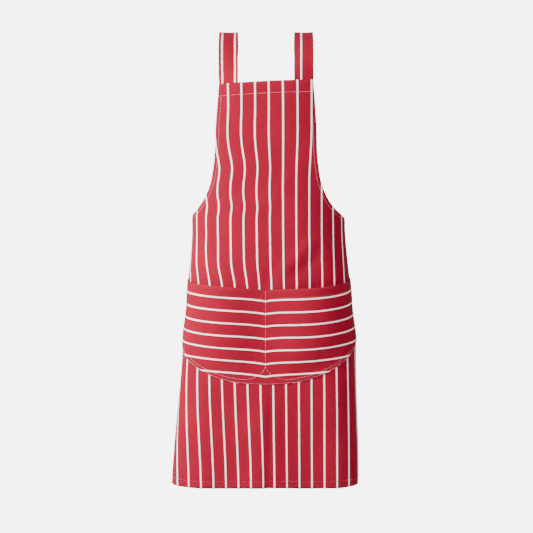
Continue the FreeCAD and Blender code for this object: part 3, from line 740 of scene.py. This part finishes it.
def thread_material(name, colour, shade):
    """Twisted thread: fine light and dark turns along it, with a soft sheen."""
    material = bpy.data.materials.new(name)
    material.use_nodes = True
    tree = material.node_tree
    tree.nodes.clear()
    spot = shader_node(tree, "ShaderNodeTexCoord").outputs["Object"]
    twist = shader_node(tree, "ShaderNodeTexNoise", None, Vector=spot, Scale=900.0, Detail=1.0)
    mixed = mixed_colour(tree, twist.outputs[0], shade, colour)
    bump = shader_node(tree, "ShaderNodeBump", None, Height=twist.outputs[0], Strength=0.4, Distance=0.0002)
    thread = shader_node(tree, "ShaderNodeBsdfPrincipled", None, Base_Color=mixed, Roughness=0.6,
                         Normal=bump.outputs[0], Sheen_Weight=0.3)
    output = shader_node(tree, "ShaderNodeOutputMaterial")
    tree.links.new(thread.outputs[0], output.inputs[0])
    return material


pale_thread = thread_material("pale_thread", (0.78, 0.28, 0.34, 1.0), (0.58, 0.15, 0.21, 1.0))
red_thread = thread_material("red_thread", (0.48, 0.030, 0.055, 1.0), (0.30, 0.014, 0.035, 1.0))
lockstitch = stitch_tree()


def inset(route, distance):
    """A flat route moved over to its right by a distance."""
    moved = []
    for i, (s, z) in enumerate(route):
        s0, z0 = route[max(i - 1, 0)]
        s1, z1 = route[min(i + 1, len(route) - 1)]
        length = math.hypot(s1 - s0, z1 - z0)
        moved.append((s + distance * (z1 - z0) / length, z - distance * (s1 - s0) / length))
    return moved


def sew(name, node, routes, off, thread, swell=None):
    """Stitches along flat routes, on cloth whose outer face is off outside the form."""
    points = []
    edges = []
    facings = []
    for route in routes:
        first = len(points)
        for s, z in route:
            extra = swell(s, z) if swell else 0.0
            points.append(hang(s, z, off + extra + STITCH_SINK * STITCH_HEIGHT))
            facings.append(tuple(on_form(s, z)[1]))
        edges += [(i, i + 1) for i in range(first, len(points) - 1)]
    seam = bpy.data.meshes.new(name + "_seam")
    seam.from_pydata(points, edges, [])
    facing = seam.attributes.new("facing", "FLOAT_VECTOR", "POINT")
    facing.data.foreach_set("vector", np.array(facings, dtype=np.float32).ravel())
    maker = bpy.data.objects.new(name + "_seam", seam)
    bpy.context.scene.collection.objects.link(maker)
    nodes = maker.modifiers.new("stitches", "NODES")
    nodes.node_group = lockstitch
    values = {"Pitch": STITCH_PITCH, "Length": STITCH_LENGTH, "Width": STITCH_WIDTH, "Height": STITCH_HEIGHT,
              "Seed": len(points), "Thread": thread}
    for item in lockstitch.interface.items_tree:
        if item.in_out == "INPUT" and item.name in values:
            nodes[item.identifier] = values[item.name]
    made = bpy.data.meshes.new_from_object(maker.evaluated_get(bpy.context.evaluated_depsgraph_get()))
    bpy.data.objects.remove(maker)
    made.name = name
    piece = bpy.data.objects.new(name, made)
    bpy.context.scene.collection.objects.link(piece)
    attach(piece, "root")
    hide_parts(node)


ON_BODY = TWILL
ON_POCKET = POCKET_OFF
BIB_ROW_END = 0.002          # where each row stops short of the cloth's edge
BOTTOM_ROW_END = 0.003
MOUTH_ROW_END = 0.003
bib_row = Z_BIB - BIB_HEM + STITCH_INSET
bib_seam = line_of((-HALF_BIB + BIB_ROW_END, bib_row), (HALF_BIB - BIB_ROW_END, bib_row), 60)
sew("bib_hem_stitches", "bib_hem_stitching", [bib_seam], ON_BODY, pale_thread)

armhole_seam = inset([p for p in armhole if p[1] < bib_row - STITCH_INSET][:-1], ARMHOLE_HEM - STITCH_INSET)
sew("armhole_stitches", "armhole_stitching", [armhole_seam, mirrored(armhole_seam)], ON_BODY, pale_thread)

side_seam = inset(side_line, SIDE_HEM - STITCH_INSET)
sew("side_hem_stitches", "side_hem_stitching", [side_seam, mirrored(side_seam)], ON_BODY, red_thread)

bottom_row = Z_HEM + BOTTOM_HEM - STITCH_INSET
bottom_end = HALF_WIDTH - BOTTOM_ROW_END
bottom_seam = line_of((bottom_end, bottom_row), (-bottom_end, bottom_row), 160)
sew("bottom_hem_stitches", "bottom_hem_stitching", [bottom_seam], ON_BODY, red_thread)

mouth_flats = np.linspace(POCKET_INNER_ROW, HALF_POCKET - POCKET_INNER_ROW - MOUTH_ROW_END, 50)
mouth_seam = [(s, pocket_mouth(s) - POCKET_TOP_HEM + STITCH_INSET) for s in mouth_flats]
sew("pocket_mouth_stitches", "pocket_mouth_stitching", [mouth_seam, mirrored(mouth_seam)], ON_POCKET,
    red_thread, pocket_swell)

row_top = Z_MOUTH + 0.4 * POCKET_MOUTH_SAG
outer_s = HALF_POCKET - POCKET_OUTER_ROW
inner_s = HALF_POCKET - POCKET_INNER_ROW
outer_row = [(s, pocket_edge(s) + POCKET_OUTER_ROW) for s in np.linspace(-outer_s, outer_s, 120)]
outer_sides = [line_of((side * outer_s, row_top), (side * outer_s, Z_POCKET_CORNER), 30) for side in (-1, 1)]
sew("pocket_edge_stitches", "pocket_edge_stitching", [outer_row] + outer_sides, ON_POCKET, pale_thread)

turn_flats = [FORK_REACH * (1.0 - math.cos(math.radians(d))) for d in range(12, 90, 6)]
bag_flats = turn_flats + list(np.linspace(FORK_REACH, inner_s, 50))
bag_rows = []
row_low = Z_POCKET_CORNER + POCKET_INNER_ROW
for side in (-1, 1):
    bag_rows.append([(side * s, inner_row(s)) for s in bag_flats])
    bag_rows.append(line_of((side * inner_s, row_top), (side * inner_s, row_low), 30))
sew("pocket_bag_stitches", "pocket_bag_stitching", bag_rows, ON_POCKET, pale_thread)

centre_top = pocket_mouth(0.0) - 0.001
centre_low = Z_POCKET_BOTTOM + 0.85 * FORK_HEIGHT
centre_seam = line_of((0.0, centre_top), (0.0, centre_low), 50)
sew("pocket_centre_stitches", "pocket_centre_stitching", [centre_seam], ON_POCKET, pale_thread)

BOX_HALF = 0.014
BOX_TOP = 0.014
BOX_LOW = 0.040
box_middle = HALF_WIDTH - STRAP_CORNER_INSET
corners = [(box_middle - BOX_HALF, Z_WAIST - BOX_TOP), (box_middle + BOX_HALF, Z_WAIST - BOX_TOP),
           (box_middle + BOX_HALF, Z_WAIST - BOX_LOW), (box_middle - BOX_HALF, Z_WAIST - BOX_LOW)]
box_runs = [line_of(a, b, 9) for a, b in zip(corners, corners[1:] + corners[:1])]
box_runs.append(line_of(corners[3], corners[1], 9))
sew("strap_end_stitches", "strap_end_stitching", box_runs + [mirrored(run) for run in box_runs], ON_BODY,
    red_thread)

# ---- Floor, light and camera --------------------------------------------------------------------------
# A plain pale studio: a floor well below the hem and a sky that is brighter on the left.  Three soft lights
# stand round the apron: the key at the front left, a weaker one for the bib and one behind.

FLOOR_DROP = 0.45
FLOOR_SIZE = 60.0
floor_mesh = bpy.data.meshes.new("floor")
corner = 0.5 * FLOOR_SIZE
floor_z = Z_HEM - FLOOR_DROP
floor_mesh.from_pydata([(-corner, -corner, floor_z), (corner, -corner, floor_z), (corner, corner, floor_z),
                        (-corner, corner, floor_z)], [], [(0, 1, 2, 3)])
PALE = (0.985, 0.985, 0.99, 1.0)
PALE_LEVEL = 6.2
SKY_LEFT = 1.65
SKY_RIGHT = 0.24


def pale_backdrop(tree, plain, output):
    """Shows the studio's even pale ground, while the plain shader does the lighting."""
    seen = tree.nodes.new("ShaderNodeLightPath").outputs["Is Camera Ray"]
    pale = shader_node(tree, "ShaderNodeEmission", None, Color=PALE, Strength=PALE_LEVEL)
    both = shader_node(tree, "ShaderNodeMixShader", None, _0=seen, _1=plain, _2=pale.outputs[0])
    tree.links.new(both.outputs[0], output.inputs["Surface"])


floor_paint = bpy.data.materials.new("floor_paint")
floor_paint.use_nodes = True
paint = floor_paint.node_tree
paint.nodes["Principled BSDF"].inputs["Base Color"].default_value = (0.60, 0.60, 0.61, 1.0)
paint.nodes["Principled BSDF"].inputs["Roughness"].default_value = 0.9
pale_backdrop(paint, paint.nodes["Principled BSDF"].outputs[0], paint.nodes["Material Output"])
floor_mesh.materials.append(floor_paint)
floor = bpy.data.objects.new("floor", floor_mesh)
bpy.context.scene.collection.objects.link(floor)

world = bpy.data.worlds.new("studio")
world.use_nodes = True
sky = world.node_tree
toward = sky.nodes.new("ShaderNodeTexCoord").outputs["Generated"]
way = shader_node(sky, "ShaderNodeSeparateXYZ", None, _0=toward)
side_light = shader_node(sky, "ShaderNodeMapRange", None, Value=way.outputs[0], From_Min=-0.8, From_Max=0.35,
                         To_Min=SKY_LEFT, To_Max=SKY_RIGHT)
fill = sky.nodes["Background"]
fill.inputs["Color"].default_value = (0.98, 0.98, 1.0, 1.0)
sky.links.new(side_light.outputs[0], fill.inputs["Strength"])
pale_backdrop(sky, fill.outputs[0], sky.nodes["World Output"])
bpy.context.scene.world = world


def soft_light(name, place, aim, size, watts):
    lamp = bpy.data.lights.new(name, "AREA")
    lamp.shape = "DISK"
    lamp.size = size
    lamp.energy = watts
    holder = bpy.data.objects.new(name, lamp)
    holder.location = place
    holder.rotation_euler = (Vector(aim) - Vector(place)).to_track_quat("-Z", "Y").to_euler()
    bpy.context.scene.collection.objects.link(holder)


# name, place, aim, size in metres and watts
LIGHTS = [
    ("key", (-1.85, -1.05, 0.15), (0.0, 0.0, -0.60), 0.7, 134.0),
    ("bib_fill", (0.55, -1.90, 0.60), (0.02, 0.0, -0.22), 0.7, 34.0),
    ("back", (-0.70, 2.10, 0.20), (0.0, 0.0, -0.50), 0.9, 75.0),
]
for light in LIGHTS:
    soft_light(*light)

FOCAL = 60.8
TILT = 9.0
CAMERA_AWAY = 2.170
CAMERA_HEIGHT = -0.212
camera_data = bpy.data.cameras.new("camera")
camera_data.lens = FOCAL
camera_data.sensor_width = 36.0
camera = bpy.data.objects.new("camera", camera_data)
camera.location = (0.001, -CAMERA_AWAY, CAMERA_HEIGHT)
camera.rotation_euler = (math.radians(90.0 - TILT), 0.0, 0.0)
bpy.context.scene.collection.objects.link(camera)
bpy.context.scene.camera = camera
